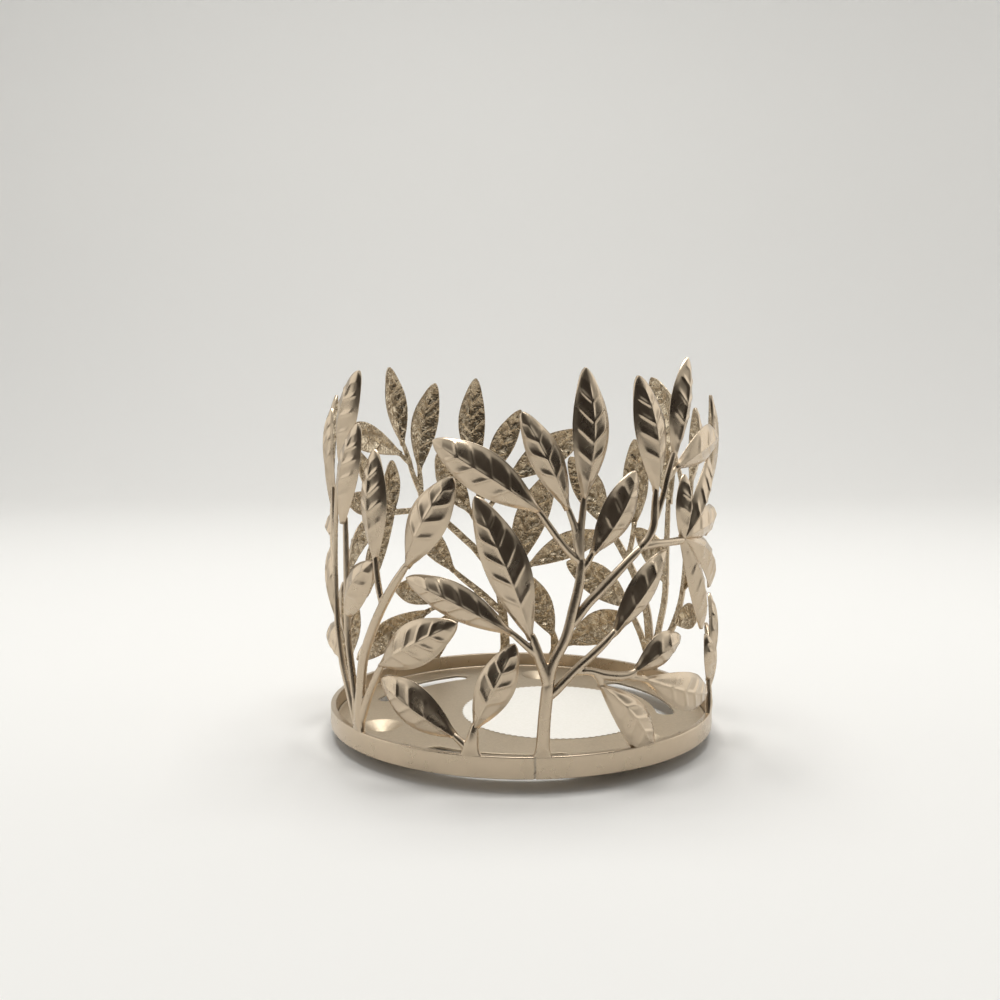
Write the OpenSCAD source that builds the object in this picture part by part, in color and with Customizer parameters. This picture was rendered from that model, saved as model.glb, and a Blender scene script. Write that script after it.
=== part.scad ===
// Jar candle holder: a wall of cast leaf sprays on a rim band, over a footed base plate.
// Origin on the axis, at the surface that the feet stand on. +Z is up.
// Places on the wall are [angle, height]: degrees from the front seam, counted towards +X,
// and millimetres above the lower edge of the rim band.

/* [Rim band] */
// Outside diameter of the rim band
holder_d = 108; // [100:1:116]
// Radial thickness of the rim band
rim_t = 1.5; // [1.2:0.1:2]
// Height of the rim band
rim_h = 5.5; // [5:0.1:6]
// Width of the inward lip that the base plate lies on
lip_w = 2; // [1.5:0.1:3]
// Thickness of that lip
lip_t = 0.5; // [0.4:0.1:0.8]
// Break on the rim band's edges
rim_edge = 0.3; // [0.1:0.1:0.5]
// Width of the solder in each of the two rim seams
seam_w = 0.6; // [0.4:0.1:1]
// How far the solder bead stands proud of the rim band
seam_proud = 0.15; // [0.05:0.05:0.3]

/* [Base plate] */
// Clear height under the rim band
stand_off = 3.5; // [2:0.5:5]
// Sheet thickness of the base plate
plate_t = 0.7; // [0.5:0.1:1]
// Gap between the plate and the rim band
plate_gap = 0.2; // [0.1:0.1:0.4]
// Distance of the foot dimples from the axis
foot_r = 41; // [38:0.5:43]
// Width of a foot dimple at the plate
foot_top_d = 10.4; // [8:0.2:12]
// Width of a foot where it stands
foot_bottom_d = 6.8; // [5:0.2:8]
// Inner edge of the arc slots, from the axis
slot_in_r = 38.8; // [37:0.2:40]
// Outer edge of the arc slots, from the axis
slot_out_r = 44; // [42:0.2:46]
// Length of each arc slot in degrees
slot_arc = 46; // [30:1:52]
// Turn of the plate: direction of its first slot
plate_turn = 108; // [0:1:359]

/* [Label] */
// Diameter of the round paper label
label_d = 53; // [40:1:56]
// Thickness of the label
label_t = 0.2; // [0.1:0.05:0.4]
// How far the label lies off the axis, towards +X and -Y
label_off = [9.5, -1];

/* [Leaves and stems] */
// Rise of a leaf's midrib over its margins
leaf_rise = 1.4; // [1:0.1:1.6]
// Thickness of a leaf at its margins
leaf_t = 0.8; // [0.6:0.1:1]
// Depth of the pleats between a leaf's side veins
vein_h = 0.18; // [0:0.02:0.25]
// How far a side vein runs forward on its way out, as a share of the leaf
vein_slant = 0.09; // [0:0.01:0.12]
// Radial depth of a stem, as a share of its width
stem_depth = 0.65; // [0.5:0.05:0.75]

/* [Hidden] */

metal = [0.69, 0.63, 0.54];
plate_metal = [0.62, 0.57, 0.49];
paper = [0.93, 0.92, 0.88];

rim_r = holder_d / 2;
wall_r = rim_r - rim_t;
plate_z = stand_off + lip_t;
plate_top = plate_z + plate_t;
seam_deg = 2 * asin(seam_w / 2 / rim_r);
mm_per_deg = PI * rim_r / 180;
feet = [60, 180, 300];
slots = [0, 120, 240];
over = 1;

// Main spray: stems as [angle, height, half width]
trunk = [[2, 3, 2.2], [2, 7, 1.7], [2.5, 15, 1.6], [3.5, 24, 1.6]];
left_limb = [[3.5, 23, 1.5], [1, 29.5, 1.3], [-0.8, 35, 0.9]];
left_twig = [[1, 29.5, 1.1], [-5.5, 34.8, 0.8], [-8.3, 36.2, 0.7]];
centre_limb = [[3.5, 23, 1.4], [4.5, 28, 1.3], [8, 34, 1.3], [10, 41, 1.3], [11.5, 47, 1.2],
    [12, 52.5, 1.1]];
high_twigs = [
    [[12, 51.5, 0.9], [8.5, 54.5, 0.9], [4.7, 59, 0.9], [0.7, 64.4, 0.8]],
    [[12, 51.5, 0.9], [10.8, 56, 0.9], [10.2, 60, 0.9], [8.3, 65, 0.8]],
    [[12, 51.5, 0.9], [11.8, 58, 0.9], [12.2, 63, 0.9], [12.7, 67.5, 0.8]],
    [[12, 49.5, 0.9], [13.2, 51, 0.9], [15.5, 54.5, 0.8]]
];
// Leaves as [foot angle, foot height, tip angle, tip height, width, bow to the left], then how far off
// the wall one stands that laps over another
main_leaves = [
    [-1, 33.5, -15.5, 67.5, 10.6, -1.2],
    [-6, 35, -35.5, 47, 8.5, -1.4],
    [1.2, 64, -27, 80.5, 10.3, -0.7],
    [8.4, 64.3, -3.5, 87.2, 7.6, -0.5],
    [12.7, 66.8, 12.9, 97.5, 9, -1.3],
    [15, 53.5, 27.7, 73, 8.8, -0.5]
];

// Long branch, from the centre limb round the side
long_limb = [[9.3, 36.5, 1.2], [13.5, 41.5, 1.2], [17.3, 44.8, 1.2], [21, 48, 1.2], [25, 51.2, 1.1],
    [29.3, 54.3, 1.1]];
long_twigs = [
    [[29, 54, 1.1], [32.3, 57, 1.1], [34, 60, 1.1], [34.3, 64.5, 1], [34.8, 69, 0.8]],
    [[34, 60, 1], [37.5, 67, 0.9], [39.2, 71.7, 0.9], [42, 77.5, 0.8]],
    [[38.5, 70, 0.9], [43.5, 73.7, 0.7]],
    [[29, 54.3, 1], [34, 55, 1], [39, 55, 1], [47, 55, 1.1]]
];
long_leaves = [
    [35, 67.7, 28.3, 95.8, 9.7, -0.8],
    [42, 76, 48, 100.5, 8.5, 1],
    [42.6, 73.2, 75, 80.7, 8.7, 2],
    [46.3, 55.2, 47, 71.5, 7, 0],
    [46.3, 55.3, 66, 75, 7.5, 0],
    [45.5, 55.5, 74, 61, 7, 0.3],
    [46, 55.6, 73, 39.5, 7.5, 2.5],
    [46, 56, 61.5, 30, 8.5, 0.5]
];

// Low branch, from the trunk close above the rim
low_limb = [[3.5, 19.5, 1.2], [6.5, 22.3, 1.2], [10.6, 26, 1.1], [15, 29.3, 1.1], [18.8, 32.2, 1],
    [22, 35, 0.8]];
low_twigs = [
    [[10.6, 25.5, 1], [14.4, 25.5, 1], [18.3, 24.3, 1.2], [23, 23.5, 1.2], [26.5, 23.6, 1],
        [29, 24.5, 0.8]],
    [[24.5, 23.4, 0.9], [29, 22.4, 0.8], [33.5, 21.2, 0.7]],
    [[15, 25.4, 1], [17, 23.8, 1], [18, 21.5, 0.9]]
];
low_leaves = [
    [21.3, 34, 38.8, 53, 8, 0.7],
    [28.2, 24.3, 46, 30.7, 8, 1],
    [31, 21.9, 67.5, 11.7, 9.7, -1],
    [17.5, 22, 35, -1, 8.9, 2]
];

// Side spray, a fan of stems from its own foot
side_stems = [
    [[125, 3, 2.4], [125.3, 8, 1.8], [126, 15, 1.6], [127.5, 24, 1.5], [131.5, 32, 1.4],
        [136, 39, 1.3], [140.5, 45, 1.2], [145.3, 50.8, 0.9]],
    [[125.5, 7, 1.3], [129.5, 15, 1.2], [133, 20.5, 1.1], [135.5, 24.3, 0.9]],
    [[136, 39, 1], [134.2, 45, 1], [133, 51.5, 0.9]],
    [[124.8, 7, 1.3], [121, 20, 1.2], [118.5, 30, 1.2], [118, 45, 1.1], [117.3, 60, 0.9]],
    [[124.3, 6, 1.4], [119, 14, 1.2], [113.5, 21.5, 1.2], [109, 31, 1.1], [107, 43, 1],
        [107.5, 55, 0.9], [110, 65, 0.9], [114.5, 75, 0.8]],
    [[107.2, 49, 0.9], [104.5, 58, 0.9], [103.3, 68, 0.8]],
    [[106.8, 44, 0.9], [98, 53, 0.9], [92, 62.5, 0.8]]
];
side_leaves = [
    [144.5, 49.5, 158.6, 71.8, 10.4, 0.4],
    [134.5, 23.8, 159.5, 37, 10.7, 0.3],
    [132.9, 50, 133, 78, 10, 0],
    [114, 73.3, 126, 97.3, 10.6, 0.6],
    [117, 58.3, 127, 84.2, 10.4, 0.3, 0.9],
    [117, 33.2, 132, 49.7, 9.8, 0.9],
    [103.5, 66, 101, 88, 8, 0.3],
    [92.5, 61, 83.5, 91.5, 8.5, 0.5],
    [98, 53.5, 84, 56, 7.5, -0.5],
    [108.5, 32, 97, 51, 8, -0.5],
    [113, 22, 96, 28, 7.5, -0.5]
];

// Sprout, two leaves from one foot
sprout_stems = [
    [[163.5, 3, 2.2], [163.5, 7, 1.8], [164.5, 13, 1]],
    [[163.3, 6, 1.2], [160.5, 8.3, 1], [157.5, 10.3, 0.8]]
];
sprout_leaves = [
    [159.3, 9.2, 135, 20.8, 10.6, -0.7],
    [164.2, 11.5, 174.8, 32.5, 9.1, -0.2]
];

// Middle sprig, three leaves from one foot
sprig_stems = [
    [[71, 3, 2.2], [71, 7, 1.7], [71.6, 11, 1.2], [72.6, 17, 1]],
    [[71, 6, 1.2], [72.3, 8.3, 1.1], [74.5, 12, 0.8]]
];
sprig_leaves = [
    [71.8, 14, 66.5, 27.5, 7.5, 0.4],
    [74.2, 11.3, 86, 27, 7.5, -0.4],
    [72.6, 16.5, 78, 37, 6.5, 0]
];

// A point on the wall
function on_wall(angle, height, radius) = [radius * sin(angle), -radius * cos(angle), stand_off + height];

// Leaf outline: half width as a share of the widest place, along the leaf
function leaf_form(s) = pow(sin(180 * pow(s, 1.1)), 0.8);

// Places of the sections along a leaf, closer together where the tip rounds off
stations = [0.1, 0.24, 0.4, 0.56, 0.72, 0.85, 0.95];
rings = len(stations);
// Across the outer face: place from the midrib, share of the rise, share of the vein pleat
outer_face = [[-1, 0, 0], [-0.5, 0.55, 1], [0, 1, 0], [0.5, 0.55, 1], [1, 0, 0]];
// Across the hollow back, returning
back_face = [[1, 0], [0, 0.6], [-1, 0]];
stem_lap = 0.4;
stem_draw = 0.92;

function leaf_point(leaf, s, across, lift) =
    let (
        stand = len(leaf) > 6 ? leaf[6] : 0,
        run = [(leaf[2] - leaf[0]) * mm_per_deg, leaf[3] - leaf[1]],
        along = run / norm(run),
        left = [-along[1], along[0]],
        ahead = s + vein_slant * abs(across) * sin(180 * s),
        half = leaf[4] / 2 * leaf_form(ahead),
        place = run * ahead + left * (leaf[5] * sin(180 * ahead) - across * half)
    )
    on_wall(leaf[0] + place[0] / mm_per_deg, leaf[1] + place[1], wall_r + stand + lift);

function leaf_ring(leaf, i) =
    let (
        s = stations[i],
        rise = leaf_rise * (0.25 + 0.75 * leaf_form(s)),
        pleat = vein_h * (i % 2 == 1 ? 1 : -1)
    )
    concat(
        [for (p = outer_face) leaf_point(leaf, s, p[0], leaf_t + rise * p[1] + pleat * p[2])],
        [for (p = back_face) leaf_point(leaf, s, p[0], rise * p[1])]
    );

// One relief leaf: a roof-shaped loft with pleated sides and a hollow back, bent to the wall
module relief_leaf(leaf) {
    sides = len(outer_face) + len(back_face);
    foot = rings * sides;
    tip = foot + 1;
    points = concat(
        [for (i = [0:rings - 1]) each leaf_ring(leaf, i)],
        [leaf_point(leaf, 0, 0, leaf_t), leaf_point(leaf, 1, 0, leaf_t / 2)]
    );
    skin = [for (i = [0:rings - 2], k = [0:sides - 1])
        let (a = i * sides + k, b = i * sides + (k + 1) % sides)
        each [[a, b + sides, b], [a, a + sides, b + sides]]];
    foot_faces = [for (k = [0:sides - 1]) [foot, k, (k + 1) % sides]];
    tip_faces = [for (k = [0:sides - 1])
        let (last = (rings - 1) * sides) [tip, last + (k + 1) % sides, last + k]];
    polyhedron(points = points, faces = concat(skin, foot_faces, tip_faces));
}

function stem_centre(p) = on_wall(p[0], p[1], wall_r + stem_depth * p[2]);

// Section of a stem: [outwards, across] as shares of its half depth and half width
stem_section = [[1.1, 0], [-0.9, 1], [-0.9, -1]];
corners = len(stem_section);

// Corners of a section at a place on a stem, square to the run, set back and drawn in where asked
function stem_ring(points, i, back, draw) =
    let (
        here = points[i],
        before = stem_centre(points[max(i - 1, 0)]),
        after = stem_centre(points[min(i + 1, len(points) - 1)]),
        along = (after - before) / norm(after - before),
        outward = [sin(here[0]), -cos(here[0]), 0],
        square_on = outward - along * (outward * along),
        ridge = square_on / norm(square_on),
        across = cross(along, ridge)
    )
    [for (c = stem_section)
        stem_centre(here) - along * back
            + here[2] * draw * (ridge * stem_depth * c[0] + across * c[1])];

// One stem: straight lengths, each starting inside the one before
module stem(points) {
    ends = [[for (k = [0:corners - 1]) k], [for (k = [corners - 1:-1:0]) corners + k]];
    sides = [for (k = [0:corners - 1])
        let (next = (k + 1) % corners) [k, k + corners, next + corners, next]];
    for (i = [0:len(points) - 2])
        hull()
            polyhedron(points = concat(stem_ring(points, i, stem_lap, stem_draw),
                    stem_ring(points, i + 1, 0, 1)), faces = concat(ends, sides));
}

module stems(list) {
    for (points = list) stem(points);
}

module leaves(list) {
    for (leaf = list) relief_leaf(leaf);
}

// Cuts feet flat where they stand on the rim band
module above_rim() {
    difference() {
        children();
        translate([0, 0, -2 * over])
            cylinder(h = stand_off + rim_h + 2 * over, r = rim_r + 5 * over, $fn = 24);
    }
}

module half_turn() {
    rotate([0, 0, 180]) children();
}

module main_spray() {
    above_rim() {
        stems(concat([trunk, left_limb, left_twig, centre_limb], high_twigs));
        leaves(main_leaves);
    }
}

module long_branch() {
    difference() {
        union() {
            stems(concat([long_limb], long_twigs));
            leaves(long_leaves);
        }
        stem(centre_limb);
    }
}

module low_branch() {
    above_rim()
        difference() {
            union() {
                stems(concat([low_limb], low_twigs));
                leaves(low_leaves);
            }
            stem(trunk);
            stem(centre_limb);
        }
}

module side_spray() {
    above_rim() {
        stems(side_stems);
        leaves(side_leaves);
    }
}

module sprout() {
    above_rim() {
        stems(sprout_stems);
        leaves(sprout_leaves);
    }
}

module middle_sprig() {
    above_rim() {
        stems(sprig_stems);
        leaves(sprig_leaves);
    }
}

// Half of the rim band: an L section turned through half a circle, less the seams
module rim_half() {
    lip_r = wall_r - lip_w;
    section = [
        [lip_r, 0], [rim_r - rim_edge, 0], [rim_r, rim_edge], [rim_r, rim_h - rim_edge],
        [rim_r - rim_edge, rim_h], [wall_r, rim_h], [wall_r, lip_t], [lip_r, lip_t]
    ];
    translate([0, 0, stand_off])
        rotate([0, 0, -90 + seam_deg / 2])
            rotate_extrude(angle = 180 - seam_deg, $fn = 180)
                polygon(section);
}

// Solder in the two butt seams of the rim band
module seam_solder() {
    color(metal)
        for (turn = [0, 180])
            translate([0, 0, stand_off])
                rotate([0, 0, turn - 90 - seam_deg / 2])
                    rotate_extrude(angle = seam_deg, $fn = 180)
                        translate([wall_r, rim_edge])
                            square([rim_t + seam_proud, rim_h - rim_edge]);
}

// Pressed foot: a tapered cup below the plate
module foot() {
    translate([foot_r, 0, 0])
        cylinder(h = plate_z + plate_t / 2, r1 = foot_bottom_d / 2, r2 = foot_top_d / 2, $fn = 48);
}

module foot_dimple() {
    translate([foot_r, 0, plate_t])
        cylinder(h = plate_top, r1 = foot_bottom_d / 2 - plate_t, r2 = foot_top_d / 2, $fn = 48);
}

// Arc slot with round ends
module slot() {
    middle_r = (slot_in_r + slot_out_r) / 2;
    half_w = (slot_out_r - slot_in_r) / 2;
    rotate([0, 0, -slot_arc / 2])
        rotate_extrude(angle = slot_arc, $fn = 180)
            translate([slot_in_r, plate_z - over])
                square([slot_out_r - slot_in_r, plate_t + 2 * over]);
    for (end = [-1, 1])
        rotate([0, 0, end * slot_arc / 2])
            translate([middle_r, 0, plate_z - over])
                cylinder(h = plate_t + 2 * over, r = half_w, $fn = 48);
}

module base_plate() {
    color(plate_metal)
        rotate([0, 0, plate_turn - 90])
            difference() {
                union() {
                    translate([0, 0, plate_z])
                        cylinder(h = plate_t, r = wall_r - plate_gap, $fn = 180);
                    for (turn = feet) rotate([0, 0, turn]) foot();
                }
                for (turn = feet) rotate([0, 0, turn]) foot_dimple();
                for (turn = slots) rotate([0, 0, turn]) slot();
            }
}

module paper_label() {
    color(paper)
        translate([label_off[0], label_off[1], plate_top])
            cylinder(h = label_t, d = label_d, $fn = 120);
}

module right_rim_band() { color(metal) rim_half(); }
module left_rim_band() { color(metal) half_turn() rim_half(); }
module right_main_spray() { color(metal) main_spray(); }
module left_main_spray() { color(metal) half_turn() main_spray(); }
module right_long_branch() { color(metal) long_branch(); }
module left_long_branch() { color(metal) half_turn() long_branch(); }
module right_low_branch() { color(metal) low_branch(); }
module left_low_branch() { color(metal) half_turn() low_branch(); }
module right_side_spray() { color(metal) side_spray(); }
module left_side_spray() { color(metal) half_turn() side_spray(); }
module right_sprout() { color(metal) sprout(); }
module left_sprout() { color(metal) half_turn() sprout(); }
module right_middle_sprig() { color(metal) middle_sprig(); }
module left_middle_sprig() { color(metal) half_turn() middle_sprig(); }

base_plate();
paper_label();
seam_solder();
right_rim_band();
left_rim_band();
right_main_spray();
left_main_spray();
right_long_branch();
left_long_branch();
right_low_branch();
left_low_branch();
right_side_spray();
left_side_spray();
right_sprout();
left_sprout();
right_middle_sprig();
left_middle_sprig();
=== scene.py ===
"""Looks of the jar candle holder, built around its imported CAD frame."""
import math

import bmesh
import bpy
import numpy as np
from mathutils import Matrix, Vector

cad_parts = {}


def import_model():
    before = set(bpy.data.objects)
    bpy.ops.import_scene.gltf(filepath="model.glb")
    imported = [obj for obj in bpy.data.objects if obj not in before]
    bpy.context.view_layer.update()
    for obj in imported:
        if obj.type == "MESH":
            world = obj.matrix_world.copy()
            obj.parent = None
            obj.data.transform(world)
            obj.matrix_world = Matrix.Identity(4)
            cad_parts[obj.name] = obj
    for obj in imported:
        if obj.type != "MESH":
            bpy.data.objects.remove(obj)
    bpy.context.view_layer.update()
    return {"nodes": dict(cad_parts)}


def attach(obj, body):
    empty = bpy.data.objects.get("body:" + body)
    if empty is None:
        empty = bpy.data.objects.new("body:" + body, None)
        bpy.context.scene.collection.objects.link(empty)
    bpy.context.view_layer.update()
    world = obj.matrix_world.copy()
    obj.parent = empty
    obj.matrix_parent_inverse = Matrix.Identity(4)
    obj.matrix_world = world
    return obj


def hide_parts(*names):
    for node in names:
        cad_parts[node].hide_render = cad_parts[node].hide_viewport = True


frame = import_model()

MM = 0.001

# Sizes in millimetres and turns in degrees, as in the part's source
RIM_R = 54.0
RIM_T = 1.5
RIM_H = 5.5
WALL_R = RIM_R - RIM_T
STAND_OFF = 3.5
RIM_EDGE = 0.3
LIP_T = 0.5
LIP_W = 2.0
SEAM_W = 0.6
PLATE_T = 0.7
PLATE_GAP = 0.2
PLATE_R = WALL_R - PLATE_GAP
PLATE_Z = STAND_OFF + LIP_T
PLATE_TOP = PLATE_Z + PLATE_T
FOOT_AT = 41.0
FOOT_TURNS = (78, 198, 318)
SLOT_IN_R = 38.8
SLOT_OUT_R = 44.0
SLOT_ARC = 46
SLOT_TURNS = (18, 138, 258)
LABEL_R = 26.5
LABEL_T = 0.2
LABEL_AT = (9.5, -1.0)
LEAF_RISE = 1.4
LEAF_T = 0.8
STEM_DEPTH = 0.65
MM_PER_DEG = math.pi * RIM_R / 180

# Layout of one half of the wall: degrees from the front seam, millimetres above the rim's lower edge
# Stems are [angle, height, half width]
# Leaves are [foot angle, foot height, tip angle, tip height, width, bow] and, for a leaf that laps over
# another, how far off the wall it stands
SPRAYS = {
    "main_spray": {
        "stems": [
            [[2, 4.8, 1.75], [2, 7, 1.7], [2.5, 15, 1.6], [3.5, 24, 1.6]],
            [[3, 19, 1.4], [3.3, 23, 1.5], [1, 29.5, 1.3], [-0.8, 35, 0.9]],
            [[1, 29.5, 1.1], [-5.5, 34.8, 0.8], [-8.3, 36.2, 0.7]],
            [[3, 19, 1.4], [3.5, 23, 1.4], [4.8, 28, 1.3], [8, 34, 1.3], [10, 41, 1.3], [11.5, 47, 1.2],
             [12, 52.5, 1.1]],
            [[12, 51.5, 0.9], [8.5, 54.5, 0.9], [4.7, 59, 0.9], [0.7, 64.4, 0.8]],
            [[12, 51.5, 0.9], [10.8, 56, 0.9], [10.2, 60, 0.9], [8.3, 65, 0.8]],
            [[12, 51.5, 0.9], [11.8, 58, 0.9], [12.2, 63, 0.9], [12.7, 67.5, 0.8]],
            [[12, 49.5, 0.9], [13.2, 51, 0.9], [15.5, 54.5, 0.8]],
        ],
        "leaves": [
            [-1, 33.5, -15.5, 67.5, 10.6, -1.2],
            [-6, 35, -35.5, 47, 8.5, -1.4],
            [1.2, 64, -27, 80.5, 10.3, -0.7],
            [8.4, 64.3, -3.5, 87.2, 7.6, -0.5],
            [12.7, 66.8, 12.9, 97.5, 9, -1.3],
            [15, 53.5, 27.7, 73, 8.8, -0.5],
        ],
    },
    "long_branch": {
        "stems": [
            [[9.3, 36.5, 1.2], [13.5, 41.5, 1.2], [17.3, 44.8, 1.2], [21, 48, 1.2], [25, 51.2, 1.1],
             [29.3, 54.3, 1.1]],
            [[29, 54, 1.1], [32.3, 57, 1.1], [34, 60, 1.1], [34.3, 64.5, 1], [34.8, 69, 0.8]],
            [[34, 60, 1], [37.5, 67, 0.9], [39.2, 71.7, 0.9], [42, 77.5, 0.8]],
            [[38.5, 70, 0.9], [43.5, 73.7, 0.7]],
            [[29, 54.3, 1], [34, 55, 1], [39, 55, 1], [47, 55, 1.1]],
        ],
        "leaves": [
            [35, 67.7, 28.3, 95.8, 9.7, -0.8],
            [42, 76, 48, 100.5, 8.5, 1],
            [42.6, 73.2, 75, 80.7, 8.7, 2],
            [46.3, 55.2, 47, 71.5, 7, 0],
            [46.3, 55.3, 66, 75, 7.5, 0],
            [45.5, 55.5, 74, 61, 7, 0.3],
            [46, 55.6, 73, 39.5, 7.5, 2.5],
            [46, 56, 61.5, 30, 8.5, 0.5],
        ],
    },
    "low_branch": {
        "stems": [
            [[3.5, 19.5, 1.2], [6.5, 22.3, 1.2], [10.6, 26, 1.1], [15, 29.3, 1.1], [18.8, 32.2, 1],
             [22, 35, 0.8]],
            [[10.6, 25.5, 1], [14.4, 25.5, 1], [18.3, 24.3, 1.2], [23, 23.5, 1.2], [26.5, 23.6, 1],
             [29, 24.5, 0.8]],
            [[24.5, 23.4, 0.9], [29, 22.4, 0.8], [33.5, 21.2, 0.7]],
            [[15, 25.4, 1], [17, 23.8, 1], [18, 21.5, 0.9]],
        ],
        "leaves": [
            [21.3, 34, 38.8, 53, 8, 0.7],
            [28.2, 24.3, 46, 30.7, 8, 1],
            [31, 21.9, 67.5, 11.7, 9.7, -1],
            [17.5, 22, 35, -1, 8.9, 2],
        ],
    },
    "side_spray": {
        "stems": [
            [[125, 4.8, 1.9], [125.3, 8, 1.8], [126, 15, 1.6], [127.5, 24, 1.5], [131.5, 32, 1.4],
             [136, 39, 1.3], [140.5, 45, 1.2], [145.3, 50.8, 0.9]],
            [[125.5, 7, 1.3], [129.5, 15, 1.2], [133, 20.5, 1.1], [135.5, 24.3, 0.9]],
            [[136, 39, 1], [134.2, 45, 1], [133, 51.5, 0.9]],
            [[124.8, 7, 1.3], [121, 20, 1.2], [118.5, 30, 1.2], [118, 45, 1.1], [117.3, 60, 0.9]],
            [[124.3, 6, 1.4], [119, 14, 1.2], [113.5, 21.5, 1.2], [109, 31, 1.1], [107, 43, 1],
             [107.5, 55, 0.9], [110, 65, 0.9], [114.5, 75, 0.8]],
            [[107.2, 49, 0.9], [104.5, 58, 0.9], [103.3, 68, 0.8]],
            [[106.8, 44, 0.9], [98, 53, 0.9], [92, 62.5, 0.8]],
        ],
        "leaves": [
            [144.5, 49.5, 158.6, 71.8, 10.4, 0.4],
            [134.5, 23.8, 159.5, 37, 10.7, 0.3],
            [132.9, 50, 133, 78, 10, 0],
            [114, 73.3, 126, 97.3, 10.6, 0.6],
            [117, 58.3, 127, 84.2, 10.4, 0.3, 0.9],
            [117, 33.2, 132, 49.7, 9.8, 0.9],
            [103.5, 66, 101, 88, 8, 0.3],
            [92.5, 61, 83.5, 91.5, 8.5, 0.5],
            [98, 53.5, 84, 56, 7.5, -0.5],
            [108.5, 32, 97, 51, 8, -0.5],
            [113, 22, 96, 28, 7.5, -0.5],
        ],
    },
    "sprout": {
        "stems": [
            [[163.5, 4.8, 1.9], [163.5, 7, 1.8], [164.5, 13, 1]],
            [[163.3, 6, 1.2], [160.5, 8.3, 1], [157.5, 10.3, 0.8]],
        ],
        "leaves": [
            [159.3, 9.2, 135, 20.8, 10.6, -0.7],
            [164.2, 11.5, 174.8, 32.5, 9.1, -0.2],
        ],
    },
    "middle_sprig": {
        "stems": [
            [[71, 4.8, 1.8], [71, 7, 1.7], [71.6, 11, 1.2], [72.6, 17, 1]],
            [[71, 6, 1.2], [72.3, 8.3, 1.1], [74.5, 12, 0.8]],
        ],
        "leaves": [
            [71.8, 14, 66.5, 27.5, 7.5, 0.4],
            [74.2, 11.3, 86, 27, 7.5, -0.4],
            [72.6, 16.5, 78, 37, 6.5, 0],
        ],
    },
}

# Material slots of a piece, and the angle past which an edge of the rim or the plate stays sharp
FRONT, BACK = 0, 1
SHARP = math.radians(40)


def smooth(low, high, x):
    t = np.clip((np.asarray(x, float) - low) / (high - low), 0, 1)
    return t * t * (3 - 2 * t)


def on_wall(angle, height, radius):
    a = np.radians(angle)
    return np.stack([radius * np.sin(a), -radius * np.cos(a), STAND_OFF + height], -1) * MM


def new_object(name, data):
    thing = bpy.data.objects.new(name, data)
    bpy.context.scene.collection.objects.link(thing)
    return thing


def taken_mesh(thing):
    """The finished mesh of a helper object, which is then removed."""
    mesh = bpy.data.meshes.new_from_object(thing.evaluated_get(bpy.context.evaluated_depsgraph_get()))
    bpy.data.objects.remove(thing)
    return mesh


class Shell:
    """Vertices and faces of one piece, gathered from closed lofts."""

    def __init__(self):
        self.verts, self.faces, self.slots = [], [], []
        self.count = 0

    def loft(self, rings, slot_of_column):
        """rings: rows x columns x 3, each row a closed loop. Both ends are capped."""
        rows, cols = rings.shape[:2]
        base = self.count
        self.verts.append(rings.reshape(-1, 3))
        self.count += rows * cols
        for i in range(rows - 1):
            for k in range(cols):
                a, b = base + i * cols + k, base + i * cols + (k + 1) % cols
                self.faces.append((a, b, b + cols, a + cols))
                self.slots.append(slot_of_column[k])
        self.faces.append(tuple(base + k for k in reversed(range(cols))))
        self.faces.append(tuple(base + (rows - 1) * cols + k for k in range(cols)))
        self.slots += [FRONT, FRONT]

    def piece(self, name, materials):
        mesh = bpy.data.meshes.new(name)
        mesh.from_pydata(np.concatenate(self.verts).tolist(), [], self.faces)
        for material in materials:
            mesh.materials.append(material)
        mesh.polygons.foreach_set("material_index", self.slots)
        mesh.polygons.foreach_set("use_smooth", [True] * len(self.faces))
        mesh.update()
        return new_object(name, mesh)


def add_mesh(piece, mesh, lift=0.0):
    """Put another mesh into a piece, raised by lift."""
    joined = bmesh.new()
    joined.from_mesh(mesh)
    bmesh.ops.translate(joined, vec=(0, 0, lift), verts=joined.verts)
    joined.from_mesh(piece.data)
    joined.to_mesh(piece.data)
    joined.free()
    piece.data.polygons.foreach_set("use_smooth", [True] * len(piece.data.polygons))


# Relief of a leaf, in millimetres
VEIN_STEP = 4.9
VEIN_H = 0.30
VEIN_FOOT_SIDE = 0.45
VEIN_TIP_SIDE = 1.0
CELL_DEPTH = 0.14
MIDRIB_H = 0.20
MIDRIB_HALF = 0.40
BACK_VEIN_H = 0.40
NECK_HALF = 0.70
TIP_HALF = 0.25
EDGE_OUT = 0.12
EDGE_ROLL = 0.68
ARCH = 1.0
ARCH_LENGTH = 30
LEAF_UNDER_FACE = 0.03
LEAF_IN_RIM = 0.4

# Shape of a leaf, as shares and powers. A pair is where a change starts and ends, along the leaf from
# its foot, out from its midrib or, for VEIN_WIDTHS, by the leaf's width
WIDEST_POWER = 1.1
FORM_POWER = 0.8
TIP_FULL = 0.15
TIP_FILLS = (0.75, 1)
RISE_EVEN = 0.25
RISE_ENDS = (0.8, 1)
HALF_POWER = 1.3
LEAST_VEINS = 4
VEIN_LEAD = 0.8
VEIN_SPARE = 0.5
VEIN_SLANT = 0.15
VEIN_FROM_MIDRIB = (0.02, 0.10)
VEIN_TO_BORDER = (0.68, 0.82)
VEIN_WIDTHS = (0.25, 0.55)
VEINS_GROW = (0.08, 0.35)
VEINS_END = (0.78, 0.92)
FOOT_RELIEF = 0.35
MIDRIB_ENDS = (0.75, 0.95)
ROLL_AT = (0.6, 1.2)
ROLL_FADES = (0.6, 0.9)
ROLL_LOST = 0.75
ARCH_SINK = 0.35
BACK_HOLLOW = 0.85
BACK_POWER = 1.25
RIM_RAMP = 0.6

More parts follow.
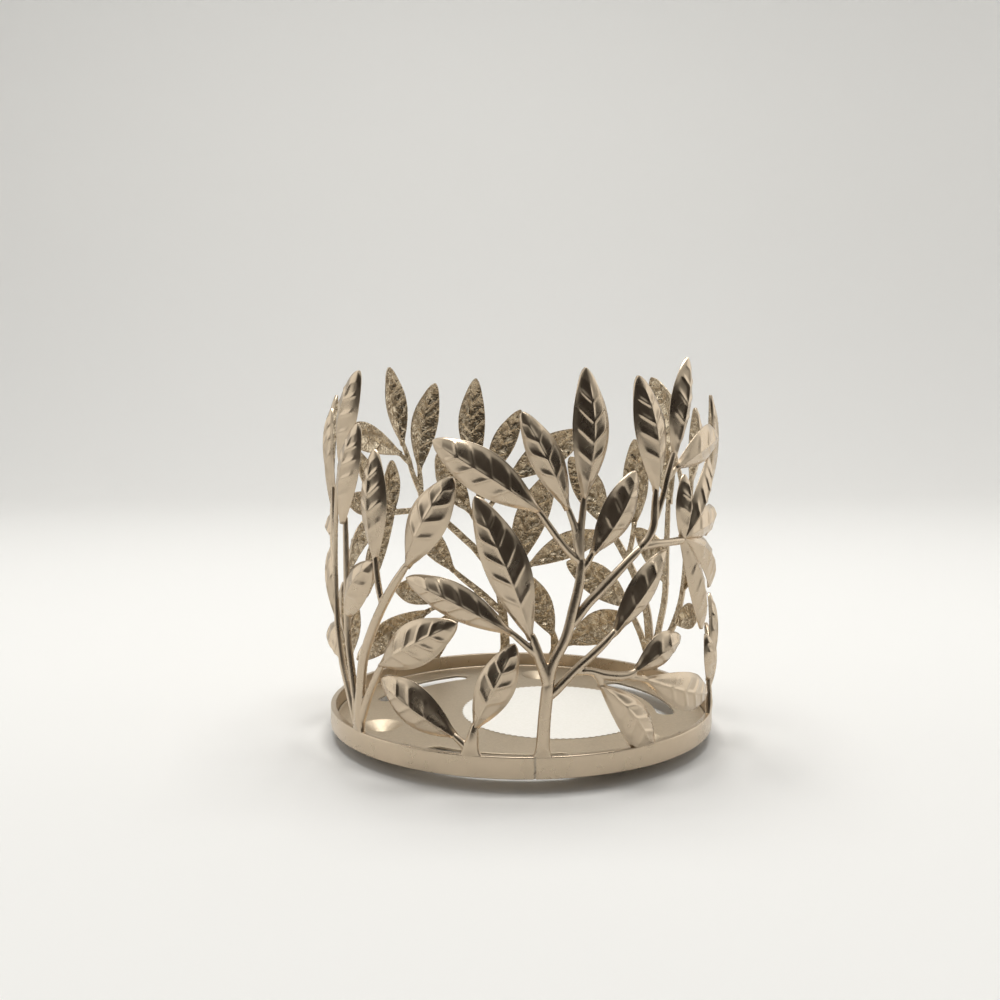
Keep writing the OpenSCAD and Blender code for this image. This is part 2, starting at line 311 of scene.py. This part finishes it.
# Rows along a leaf, near a vein in millimetres and near the tip as shares, and columns across it from
# edge to edge. Two more columns go round each edge, at these shares of the leaf's thickness
VEIN_ROWS = (-1.0, -0.65, -0.4, -0.2, 0, 0.25, 0.55, 0.9, 1.3, 1.7)
TIP_ROWS = (0.955, 0.97, 0.98, 0.988, 0.994, 0.998, 1)
ROWS_PER_VEIN = 4
ROW_GAP = 0.1
HALF_PLACES = (1, 0.96, 0.90, 0.83, 0.76, 0.68, 0.58, 0.47, 0.36, 0.26, 0.17, 0.09, 0.035)
BACK_PLACES = (1, 0.9, 0.8, 0.65, 0.5, 0.35, 0.2, 0.07, 0,
               -0.07, -0.2, -0.35, -0.5, -0.65, -0.8, -0.9, -1)
EDGE_SHARES = (0.34, 0.14, 0.14, 0.34)


def leaf_form(along):
    """Half width along a leaf, as a share of the widest place. The tip is fuller than the foot."""
    along = np.clip(along, 0, 1)
    power = FORM_POWER - TIP_FULL * smooth(*TIP_FILLS, along)
    return np.sin(math.pi * along ** WIDEST_POWER) ** power


def leaf_rows(veins, length):
    """Places along a leaf for its rows, closer together over each vein and round the tip."""
    even = np.linspace(0, 1, len(veins) * ROWS_PER_VEIN + 1)
    rows = np.sort(np.concatenate([even, (veins[:, None] + np.array(VEIN_ROWS) / length).ravel()]))
    kept = [0.0]
    for row in rows:
        if row - kept[-1] > ROW_GAP / length and row < TIP_ROWS[0] - ROW_GAP / length:
            kept.append(row)
    return np.concatenate([kept, TIP_ROWS])


def leaf_columns():
    """Places across a leaf from -1 to 1, which of them lie on its back, and the four edge columns."""
    front = [-place for place in HALF_PLACES] + [0] + list(reversed(HALF_PLACES))
    places = np.array(front + [1, 1] + list(BACK_PLACES) + [-1, -1], float)
    is_back = np.zeros(len(places), bool)
    is_back[len(front) + 2:-2] = True
    return places, is_back, [len(front), len(front) + 1, -2, -1]


def leaf_relief(along, out, off, veins, length):
    """How far a leaf's front and back lie off the wall. The front has two sloping halves with rolled
    margins, a midrib, and side veins with hollow cells between. The back is hollow."""
    form = leaf_form(along)
    rise = LEAF_RISE * (RISE_EVEN * (1 - smooth(*RISE_ENDS, along)) + (1 - RISE_EVEN) * form)
    vein = np.zeros_like(along)
    for middle in veins:
        past = (along - middle) * length
        vein += np.exp(-((past / np.where(past < 0, VEIN_FOOT_SIDE, VEIN_TIP_SIDE)) ** 2))
    field = smooth(*VEIN_FROM_MIDRIB, out) * (1 - smooth(*VEIN_TO_BORDER, out))
    field = field * smooth(*VEIN_WIDTHS, form) * (1 - smooth(*VEINS_END, along))
    grown = FOOT_RELIEF + (1 - FOOT_RELIEF) * smooth(*VEINS_GROW, along)
    ribs = field * grown * (VEIN_H * vein - CELL_DEPTH)
    midrib = MIDRIB_H * np.exp(-((off / MIDRIB_HALF) ** 2)) * (1 - smooth(*MIDRIB_ENDS, along))
    roll = EDGE_ROLL * smooth(*ROLL_AT, out) * (1 - ROLL_LOST * smooth(*ROLL_FADES, along))
    front = LEAF_T + rise * (1 - out ** HALF_POWER) + ribs + midrib - roll
    behind = BACK_HOLLOW * rise * (1 - out ** BACK_POWER) - BACK_VEIN_H * vein * field
    return front, behind


def relief_leaf(shell, leaf):
    """A leaf bent to the wall. Where it reaches the rim it runs out flush with the rim's face."""
    foot_angle, foot_z, tip_angle, tip_z, width, bow = leaf[:6]
    stand = leaf[6] if len(leaf) > 6 else 0
    run = np.array([(tip_angle - foot_angle) * MM_PER_DEG, tip_z - foot_z])
    length = np.hypot(*run)
    left = np.array([-run[1], run[0]]) / length
    count = max(LEAST_VEINS, round(length / VEIN_STEP))
    veins = (np.arange(count) + VEIN_LEAD) / (count + VEIN_SPARE)
    places, is_back, edges = leaf_columns()
    along, across = np.meshgrid(leaf_rows(veins, length), places, indexing="ij")
    ahead = along + VEIN_SLANT * np.abs(across) * np.sin(math.pi * along)
    least = NECK_HALF + (TIP_HALF - NECK_HALF) * along
    off = np.maximum(width / 2 * leaf_form(ahead), least) * across
    off[:, edges] += (EDGE_OUT, EDGE_OUT, -EDGE_OUT, -EDGE_OUT)
    front, behind = leaf_relief(along, np.abs(across), off, veins, length)
    lift = np.where(is_back, behind, front)
    lift[:, edges] = np.array(EDGE_SHARES) * LEAF_T
    lift += ARCH * length / ARCH_LENGTH * (np.sin(math.pi * np.clip(ahead, 0, 1)) - ARCH_SINK)
    swing = bow * np.sin(math.pi * ahead) - off
    angle = foot_angle + (run[0] * ahead + left[0] * swing) / MM_PER_DEG
    height = foot_z + run[1] * ahead + left[1] * swing
    over_rim = np.clip(height - RIM_H, 0, None)
    lift = np.minimum(lift, RIM_T - LEAF_UNDER_FACE + RIM_RAMP * over_rim)
    height = np.maximum(height, RIM_H - LEAF_IN_RIM)
    shell.loft(on_wall(angle, height, WALL_R + stand + lift), [BACK if b else FRONT for b in is_back])


# Stems: steps along, places across from edge to edge, and the spread where one stands on the rim
STEM_STEP = 0.7
STEM_PLACES = (-1, -0.94, -0.82, -0.62, -0.36, -0.12, 0.12, 0.36, 0.62, 0.82, 0.94, 1)
STEM_BACK_PLACES = (0.9, 0.45, 0, -0.45, -0.9)
ROOF_EDGE = 0.35
ROOF_SIDE = 0.95
ROOF_RISE = 1.05
ROOF_POWER = 2.2
FLARE = 0.45
FLARE_H = 0.9
FLUSH_H = 2.2
FLUSH_EDGE = 0.5
STEM_UNDER_FACE = 0.02
END_DRAW = 0.25
END_RUN = 0.8
STEM_VOXEL = 0.20
STEM_SOFTEN = 6
BACK_LEAN = 0.5


def stem_path(points):
    """A smooth run through a stem's points."""
    p = np.array(points, float)
    ext = np.vstack([2 * p[0] - p[1], p, 2 * p[-1] - p[-2]])
    out = []
    for i in range(1, len(ext) - 2):
        a, b, c, d = ext[i - 1:i + 3]
        steps = max(2, round(np.hypot((c[0] - b[0]) * MM_PER_DEG, c[1] - b[1]) / STEM_STEP))
        for t in np.arange(steps) / steps:
            out.append(0.5 * (2 * b + (c - a) * t + (2 * a - 5 * b + 4 * c - d) * t ** 2
                              + (3 * b - a - 3 * c + d) * t ** 3))
    out.append(p[-1])
    return np.array(out)


def stem(shell, points):
    """A stem: a soft roof outwards and a flat back. Its foot spreads on the rim, flush with its face."""
    path = stem_path(points)
    angle, height, half = path.T
    over_rim = np.clip(height - RIM_H, 0, None)
    stands = float(points[0][1] < RIM_H)
    step = np.hypot(np.diff(angle) * MM_PER_DEG, np.diff(height))
    gone = np.concatenate([[0], np.cumsum(step)])
    draw_in = 1 - END_DRAW * np.exp(-(gone[-1] - gone) / END_RUN)
    if not stands:
        draw_in = draw_in - END_DRAW * np.exp(-gone / END_RUN)
    half = half * draw_in * (1 + stands * FLARE * np.exp(-over_rim / FLARE_H))
    flush = stands * np.exp(-over_rim / FLUSH_H)
    way = np.gradient(np.stack([angle * MM_PER_DEG, height], -1), axis=0)
    way /= np.linalg.norm(way, axis=1)[:, None]
    places = np.array(STEM_PLACES + STEM_BACK_PLACES)
    front = np.arange(len(places)) < len(STEM_PLACES)
    out = np.abs(places)
    roof = np.where(out == 1, ROOF_EDGE, ROOF_SIDE + ROOF_RISE * (1 - out ** ROOF_POWER)) * front
    flat = np.where(out == 1, FLUSH_EDGE, 1.0) * front * (RIM_T - STEM_UNDER_FACE)
    depth = STEM_DEPTH * path[:, 2] * draw_in
    lift = (1 - flush)[:, None] * depth[:, None] * roof + flush[:, None] * flat
    u = angle[:, None] - (way[:, 1] * half)[:, None] * places / MM_PER_DEG
    z = height[:, None] + (way[:, 0] * half)[:, None] * places
    rings = on_wall(u[:, ::-1], z[:, ::-1], WALL_R + lift[:, ::-1])
    shell.loft(rings, [FRONT if f else BACK for f in front[::-1]])


def cast_stems(name, half_turn, materials):
    """The stems of a spray as one casting: run together, with their joints softened."""
    shell = Shell()
    for points in SPRAYS[name]["stems"]:
        stem(shell, [[p[0] + half_turn, p[1], p[2]] for p in points])
    rough = shell.piece("rough_stems", materials)
    together = rough.modifiers.new("together", "REMESH")
    together.mode, together.voxel_size = "VOXEL", STEM_VOXEL * MM
    soften = rough.modifiers.new("soften", "SMOOTH")
    soften.factor, soften.iterations = 0.5, STEM_SOFTEN
    mesh = taken_mesh(rough)
    for face in mesh.polygons:
        inwards = face.normal.xy.dot(face.center.xy) < -BACK_LEAN * face.center.xy.length
        face.material_index = BACK if inwards else FRONT
    return mesh


def spray(name, half_turn, materials):
    """The leaves and stems of one spray, on one half of the wall."""
    shell = Shell()
    for leaf in SPRAYS[name]["leaves"]:
        relief_leaf(shell, [leaf[0] + half_turn, leaf[1], leaf[2] + half_turn] + leaf[3:])
    node = ("left_" if half_turn else "right_") + name
    piece = shell.piece(node + "_relief", materials)
    add_mesh(piece, cast_stems(name, half_turn, materials))
    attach(piece, "root")
    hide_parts(node)


RIM_STEPS = 180
QUARTER_STEPS = 6


def rounded(corner, radius, start):
    """Points of a quarter round, [from the axis, height], drawn from the angle start."""
    turn = np.radians(start + np.linspace(0, 90, QUARTER_STEPS + 1))
    return [(corner[0] + radius * math.cos(a), corner[1] + radius * math.sin(a)) for a in turn]


def turned(shell, section, start, end, steps):
    """A closed section of [from the axis, height above the rim's lower edge] carried round the wall."""
    r, z = np.array(section)[::-1].T
    angles = np.linspace(start, end, steps + 1)
    shell.loft(np.array([on_wall(np.full(len(r), a), z, r) for a in angles]), [FRONT] * len(r))


def rim_band(name, half_turn, material):
    """Half of the rim: a band with soft edges and the lip that the plate lies on, from seam to seam."""
    lip_r = WALL_R - LIP_W
    section = [(lip_r, 0)]
    section += rounded((RIM_R - RIM_EDGE, RIM_EDGE), RIM_EDGE, -90)
    section += rounded((RIM_R - RIM_EDGE, RIM_H - RIM_EDGE), RIM_EDGE, 0)
    section += rounded((WALL_R + RIM_EDGE / 2, RIM_H - RIM_EDGE / 2), RIM_EDGE / 2, 90)
    section += [(WALL_R, LIP_T), (lip_r, LIP_T)]
    seam = math.degrees(SEAM_W / 2 / RIM_R)
    shell = Shell()
    turned(shell, section, half_turn + seam, half_turn + 180 - seam, RIM_STEPS)
    piece = shell.piece(name + "_soft_edges", [material])
    piece.data.set_sharp_from_angle(angle=SHARP)
    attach(piece, "root")
    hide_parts(name)


# Pressed plate: roll of its edges, the turned-up edge as [from the axis, height above the rim's lower
# edge], and half of a foot cup's section as [from the cup's axis, height]
PLATE_ROLL = 0.15
PLATE_STEPS = 240
PLATE_EDGE = ((51.4, 0.9), (PLATE_R, 0.9), (PLATE_R, 1.55), (52.2, 1.42), (52.05, 1.31), (51.8, 1.23),
              (51.4, 1.2))
SLOT_STEPS = 60
SLOT_END_STEPS = 16
CUP_R = 5.8
CUP_STEPS = 64
CUP_SECTION = ((0.02, 1.75), (0.6, 1.79), (1.1, 1.95), (1.7, 2.27), (2.4, 2.68), (3.1, 3.15),
               (3.8, 3.63), (4.4, 4.03), (4.9, 4.31), (5.25, 4.50), (5.5, 4.63), (CUP_R, PLATE_TOP),
               (CUP_R, PLATE_Z), (5.65, 3.9), (5.4, 3.6), (5.0, 2.9), (4.55, 2.1), (4.0, 1.25),
               (3.5, 0.65), (3.0, 0.25), (2.5, 0.05), (2.1, 0.0), (0.02, 0.0))


def ring(radius, count, centre=(0, 0)):
    turn = np.linspace(0, 2 * math.pi, count, endpoint=False)
    return np.stack([centre[0] + radius * np.cos(turn), centre[1] + radius * np.sin(turn)], -1)


def at_turn(radius, degrees):
    return radius * math.cos(math.radians(degrees)), radius * math.sin(math.radians(degrees))


def slot_outline(middle):
    """Arc slot with round ends."""
    half_w = (SLOT_OUT_R - SLOT_IN_R) / 2
    first, last = middle - SLOT_ARC / 2, middle + SLOT_ARC / 2
    points = []
    for radius, start, end, turn in ((SLOT_OUT_R, first, last, 0), (SLOT_IN_R, last, first, 180)):
        points += [at_turn(radius, a) for a in np.linspace(start, end, SLOT_STEPS)]
        x, y = at_turn(SLOT_IN_R + half_w, end)
        for a in np.linspace(turn, turn + 180, SLOT_END_STEPS)[1:-1]:
            dx, dy = at_turn(half_w, end + a)
            points.append((x + dx, y + dy))
    return np.array(points)


def plate_sheet():
    """The flat of the plate, with rolled edges round its slots and its three foot holes."""
    flat = bpy.data.curves.new("base_plate_flat", "CURVE")
    flat.dimensions, flat.fill_mode = "2D", "BOTH"
    flat.bevel_depth, flat.bevel_resolution = PLATE_ROLL * MM, 3
    flat.extrude, flat.offset = (PLATE_T / 2 - PLATE_ROLL) * MM, -PLATE_ROLL * MM
    outlines = [ring(PLATE_R, PLATE_STEPS)] + [slot_outline(a) for a in SLOT_TURNS]
    outlines += [ring(CUP_R - PLATE_ROLL, CUP_STEPS, at_turn(FOOT_AT, a)) for a in FOOT_TURNS]
    for outline in outlines:
        line = flat.splines.new("POLY")
        line.use_cyclic_u = True
        line.points.add(len(outline) - 1)
        for point, (x, y) in zip(line.points, outline):
            point.co = (x * MM, y * MM, 0, 1)
    return taken_mesh(new_object("base_plate_flat", flat))


def base_plate(materials):
    """Pressed plate with a turned-up edge and a foot cup in each of its three holes."""
    sheet = plate_sheet()
    shell = Shell()
    for turn in FOOT_TURNS:
        middle = at_turn(FOOT_AT, turn)
        rings = [np.column_stack([ring(r, CUP_STEPS, middle), np.full(CUP_STEPS, z)])
                 for r, z in CUP_SECTION]
        shell.loft(np.array(rings)[::-1] * MM, [BACK] * CUP_STEPS)
    turned(shell, PLATE_EDGE, 0, 360, PLATE_STEPS)
    piece = shell.piece("base_plate_pressed", materials)
    add_mesh(piece, sheet, (PLATE_Z + PLATE_T / 2) * MM)
    piece.data.set_sharp_from_angle(angle=SHARP)
    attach(piece, "root")
    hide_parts("base_plate")


# Label: its pinked edge as [in from the outline, height], and the radii of the rings inside it
LABEL_TEETH = 90
LABEL_TOOTH = 0.55
LABEL_EDGE = ((0.2, 0.0), (0, 0.06), (0, LABEL_T - 0.05), (0.15, LABEL_T))
LABEL_RINGS = (0.6 * LABEL_R, 0.05)


def paper_label(material):
    """Round blank label with a pinked edge."""
    n = LABEL_TEETH * 2
    turn = np.linspace(0, 2 * math.pi, n, endpoint=False)
    outline = LABEL_R - LABEL_TOOTH * (np.arange(n) % 2)
    section = [(outline - inset, z) for inset, z in LABEL_EDGE]
    section += [(np.full(n, radius), LABEL_T) for radius in LABEL_RINGS]
    rings = [np.stack([LABEL_AT[0] + r * np.cos(turn), LABEL_AT[1] + r * np.sin(turn),
                       np.full(n, PLATE_TOP + z)], -1) for r, z in section]
    shell = Shell()
    shell.loft(np.array(rings) * MM, [FRONT] * n)
    piece = shell.piece("paper_label_pinked", [material])
    piece.data.polygons.foreach_set("use_smooth", [False] * len(piece.data.polygons))
    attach(piece, "root")
    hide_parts("paper_label")


def nodes_of(name):
    material = bpy.data.materials.new(name)
    material.use_nodes = True
    tree = material.node_tree
    return material, tree, tree.nodes["Principled BSDF"]


def metal_nodes(name):
    material, tree, shader = nodes_of(name)
    shader.inputs["Metallic"].default_value = 1
    return material, tree, shader


def noise(tree, scale, detail, roughness=0.55):
    where = tree.nodes.new("ShaderNodeTexCoord")
    node = tree.nodes.new("ShaderNodeTexNoise")
    node.inputs["Scale"].default_value = scale
    node.inputs["Detail"].default_value = detail
    node.inputs["Roughness"].default_value = roughness
    tree.links.new(where.outputs["Object"], node.inputs["Vector"])
    return node.outputs["Fac"]


def tint(tree, shader, source, stops):
    """Colour that follows a value, from the first of two stops, [value, colour], to the second."""
    node = tree.nodes.new("ShaderNodeValToRGB")
    for element, (position, colour) in zip(node.color_ramp.elements, stops):
        element.position = position
        element.color = colour + (1,)
    tree.links.new(source, node.inputs["Fac"])
    tree.links.new(node.outputs["Color"], shader.inputs["Base Color"])


def roughen(tree, shader, source, low, high):
    """Roughness that follows a value, low at 0 and high at 1."""
    node = tree.nodes.new("ShaderNodeMapRange")
    node.inputs["To Min"].default_value = low
    node.inputs["To Max"].default_value = high
    tree.links.new(source, node.inputs["Value"])
    tree.links.new(node.outputs["Result"], shader.inputs["Roughness"])


def bump(tree, shader, source, strength, distance):
    node = tree.nodes.new("ShaderNodeBump")
    node.inputs["Strength"].default_value = strength
    node.inputs["Distance"].default_value = distance
    tree.links.new(source, node.inputs["Height"])
    tree.links.new(node.outputs["Normal"], shader.inputs["Normal"])


def satin_metal():
    material, tree, shader = metal_nodes("satin champagne plating")
    cloud = noise(tree, 160, 3)
    tint(tree, shader, cloud, [(0.3, (0.545, 0.447, 0.332)), (0.7, (0.595, 0.487, 0.363))])
    roughen(tree, shader, cloud, 0.24, 0.32)
    grain = noise(tree, 420, 2)
    bump(tree, shader, grain, 0.05, 0.0003)
    return material


def cast_back():
    """Crinkled casting, rougher in its hollows, with painted shade darkening its hollows and painted
    highlight paling its lumps.
    """
    material, tree, shader = metal_nodes("cast back of the leaves")
    lumps = noise(tree, 620, 2)
    # Colour follows the bump: painted shade in the hollows and painted highlight on the lumps
    tint(tree, shader, lumps, [(0.36, (0.38, 0.30, 0.205)), (0.58, (0.66, 0.56, 0.415))])
    roughen(tree, shader, lumps, 0.34, 0.20)
    bump(tree, shader, lumps, 0.85, 0.0008)
    return material


def solder():
    material, tree, shader = metal_nodes("pitted seam solder")
    pits = noise(tree, 1400, 3)
    tint(tree, shader, pits, [(0.38, (0.30, 0.25, 0.19)), (0.5, (0.54, 0.46, 0.36))])
    shader.inputs["Roughness"].default_value = 0.32
    bump(tree, shader, pits, 0.8, 0.0006)
    return material


def satin_plate(name, least, most):
    """Grained sheet, with its roughness between two values."""
    material, tree, shader = metal_nodes(name)
    grain = noise(tree, 1800, 4, 0.65)
    tint(tree, shader, grain, [(0.3, (0.505, 0.425, 0.32)), (0.7, (0.59, 0.50, 0.38))])
    cloud = noise(tree, 90, 3)
    roughen(tree, shader, cloud, least, most)
    bump(tree, shader, grain, 0.30, 0.0003)
    return material


def label_paper():
    material, tree, shader = nodes_of("blank label paper")
    fibre = noise(tree, 1500, 4)
    tint(tree, shader, fibre, [(0.3, (0.86, 0.845, 0.79)), (0.7, (0.92, 0.905, 0.86))])
    shader.inputs["Roughness"].default_value = 0.6
    bump(tree, shader, fibre, 0.15, 0.0002)
    return material


# Stage, in metres: the pale room, the white sweep and where the sweep runs out into the room
ROOM_COLOUR = (0.62, 0.615, 0.59, 1)
SWEEP_FRONT = -1.4
SWEEP_BACK = 0.70
SWEEP_R = 0.35
SWEEP_TOP = 1.6
SWEEP_HALF = 2.2
COVE_STEPS = 12
SIDE_FADE = (0.9, 1.7)
FRONT_FADE = (-0.45, -1.2)


def stage_material(name, colour, roughness):
    material, tree, shader = nodes_of(name)
    shader.inputs["Base Color"].default_value = colour + (1,)
    shader.inputs["Roughness"].default_value = roughness
    shader.inputs["Specular IOR Level"].default_value = 0.2
    return material, tree, shader


def combine(tree, operation, first, second):
    node = tree.nodes.new("ShaderNodeMath")
    node.operation = operation
    tree.links.new(first, node.inputs[0])
    tree.links.new(second, node.inputs[1])
    return node.outputs["Value"]


def seen_rays(tree):
    """1 for what the camera and the metal's reflections see, 0 for plain light."""
    ray = tree.nodes.new("ShaderNodeLightPath")
    return combine(tree, "MAXIMUM", ray.outputs["Is Camera Ray"], ray.outputs["Is Glossy Ray"])


def beyond(tree, source, start, end):
    """0 before start, 1 past end."""
    node = tree.nodes.new("ShaderNodeMapRange")
    node.interpolation_type = "SMOOTHSTEP"
    node.inputs["From Min"].default_value = start
    node.inputs["From Max"].default_value = end
    tree.links.new(source, node.inputs["Value"])
    return node.outputs["Result"]


def sweep_material():
    """White sweep. The camera and the metal's reflections see its ends and its front run out into the
    pale room."""
    material, tree, shader = stage_material("white sweep", (0.88, 0.875, 0.855), 0.8)
    where = tree.nodes.new("ShaderNodeTexCoord")
    apart = tree.nodes.new("ShaderNodeSeparateXYZ")
    tree.links.new(where.outputs["Object"], apart.inputs["Vector"])
    right = beyond(tree, apart.outputs["X"], SIDE_FADE[0], SIDE_FADE[1])
    left = beyond(tree, apart.outputs["X"], -SIDE_FADE[0], -SIDE_FADE[1])
    front = beyond(tree, apart.outputs["Y"], FRONT_FADE[0], FRONT_FADE[1])
    far = combine(tree, "MAXIMUM", combine(tree, "MAXIMUM", right, left), front)
    room = tree.nodes.new("ShaderNodeEmission")
    room.inputs["Color"].default_value = ROOM_COLOUR
    mix = tree.nodes.new("ShaderNodeMixShader")
    tree.links.new(combine(tree, "MULTIPLY", far, seen_rays(tree)), mix.inputs["Fac"])
    tree.links.new(shader.outputs["BSDF"], mix.inputs[1])
    tree.links.new(room.outputs["Emission"], mix.inputs[2])
    tree.links.new(mix.outputs["Shader"], tree.nodes["Material Output"].inputs["Surface"])
    return material


def backdrop():
    """White sweep: floor, round cove and wall."""
    profile = [(SWEEP_FRONT, 0.0), (SWEEP_BACK, 0.0)]
    for i in range(1, COVE_STEPS + 1):
        a = math.pi / 2 * i / COVE_STEPS
        profile.append((SWEEP_BACK + SWEEP_R * math.sin(a), SWEEP_R * (1 - math.cos(a))))
    profile.append((SWEEP_BACK + SWEEP_R, SWEEP_TOP))
    verts, faces = [], []
    for y, z in profile:
        verts += [(-SWEEP_HALF, y, z), (SWEEP_HALF, y, z)]
    for i in range(len(profile) - 1):
        faces.append((2 * i, 2 * i + 1, 2 * i + 3, 2 * i + 2))
    mesh = bpy.data.meshes.new("sweep")
    mesh.from_pydata(verts, [], faces)
    mesh.polygons.foreach_set("use_smooth", [True] * len(faces))
    mesh.materials.append(sweep_material())
    new_object("sweep", mesh)


def dark_material(name, dark, pale, reach):
    """Dark in the middle of a card and paler towards its ends."""
    material, tree, shader = stage_material(name, dark, 0.9)
    where = tree.nodes.new("ShaderNodeTexCoord")
    scale = tree.nodes.new("ShaderNodeMapping")
    scale.inputs["Scale"].default_value = (1 / reach, 1 / reach, 1 / reach)
    fade = tree.nodes.new("ShaderNodeTexGradient")
    fade.gradient_type = "SPHERICAL"
    tree.links.new(where.outputs["Object"], scale.inputs["Vector"])
    tree.links.new(scale.outputs["Vector"], fade.inputs["Vector"])
    tint(tree, shader, fade.outputs["Fac"], [(0, pale), (0.6, dark)])
    return material


def facing(at, aim):
    return (Vector(aim) - Vector(at)).to_track_quat("-Z", "Y").to_euler()


def card(name, centre, width, height, material, aim):
    """A flat card that only the metal's reflections see, as the room in front of the sweep."""
    mesh = bpy.data.meshes.new(name)
    w, h = width / 2, height / 2
    mesh.from_pydata([(-w, -h, 0), (w, -h, 0), (w, h, 0), (-w, h, 0)], [], [(0, 1, 2, 3)])
    mesh.materials.append(material)
    piece = new_object(name, mesh)
    piece.location = centre
    piece.rotation_euler = facing(centre, aim)
    piece.visible_camera = piece.visible_diffuse = piece.visible_shadow = False


def area_light(name, at, aim, width, height, power, colour):
    light = bpy.data.lights.new(name, "AREA")
    light.shape = "RECTANGLE"
    light.size, light.size_y = width, height
    light.energy = power
    light.color = colour
    lamp = new_object(name, light)
    lamp.location = at
    lamp.rotation_euler = facing(at, aim)


def world():
    """Plain room light. The camera and the metal's reflections see it as a pale wall."""
    room = bpy.data.worlds.new("room")
    bpy.context.scene.world = room
    room.use_nodes = True
    tree = room.node_tree
    sky = tree.nodes["Background"]
    sky.inputs["Color"].default_value = (0.80, 0.795, 0.78, 1)
    sky.inputs["Strength"].default_value = 0.32
    wall = tree.nodes.new("ShaderNodeBackground")
    wall.inputs["Color"].default_value = ROOM_COLOUR
    mix = tree.nodes.new("ShaderNodeMixShader")
    tree.links.new(seen_rays(tree), mix.inputs["Fac"])
    tree.links.new(sky.outputs["Background"], mix.inputs[1])
    tree.links.new(wall.outputs["Background"], mix.inputs[2])
    tree.links.new(mix.outputs["Shader"], tree.nodes["World Output"].inputs["Surface"])


# Camera: place, lens and sensor in millimetres, and turns in degrees
CAMERA_AT = (-19.0, -298.5, 92.2)
CAMERA_PITCH = 5.1
CAMERA_TURN = 2.5
LENS = 38.16
SENSOR_W = 36


def camera():
    lens = bpy.data.cameras.new("camera")
    lens.lens = LENS
    lens.sensor_width = SENSOR_W
    lens.clip_start = 0.01
    eye = new_object("camera", lens)
    eye.location = [c * MM for c in CAMERA_AT]
    eye.rotation_euler = (math.radians(90 - CAMERA_PITCH), 0, math.radians(-CAMERA_TURN))
    bpy.context.scene.camera = eye


metal = satin_metal()
back = cast_back()
for part in SPRAYS:
    for half_turn in (0, 180):
        spray(part, half_turn, [metal, back])
paper_label(label_paper())
base_plate([satin_plate("satin base plate", 0.42, 0.54), satin_plate("pressed foot", 0.46, 0.54)])
rim_band("right_rim_band", 0, metal)
rim_band("left_rim_band", 180, metal)
beads = frame["nodes"]["seam_solder"]
beads.data.materials.clear()
beads.data.materials.append(solder())

backdrop()
dark = dark_material("dark room", (0.028, 0.023, 0.021), (0.20, 0.18, 0.165), 2.3)
card("dark room", (0.35, -0.62, 0.355), 4.4, 0.73, dark, (0.35, 0.0, 0.355))
# Painted shade: a dark card on the white floor in front, which only the metal's reflections see, as the
# shaded floor
card("painted shade on the front floor", (0.35, -0.91, 0.004), 4.4, 1.2, dark, (0.35, -0.91, -1.0))
world()
area_light("top", (0.0, 0.13, 1.0), (0, 0.08, 0), 0.8, 0.5, 8.1, (1.0, 0.99, 0.97))
area_light("left", (-1.1, 0.25, 0.55), (0, 0, 0.05), 1.2, 1.0, 2.3, (1.0, 0.985, 0.955))
area_light("right", (1.1, 0.50, 0.55), (0, 0, 0.05), 1.2, 1.0, 2.6, (1.0, 0.985, 0.955))
camera()
bpy.context.scene.view_settings.view_transform = "Standard"
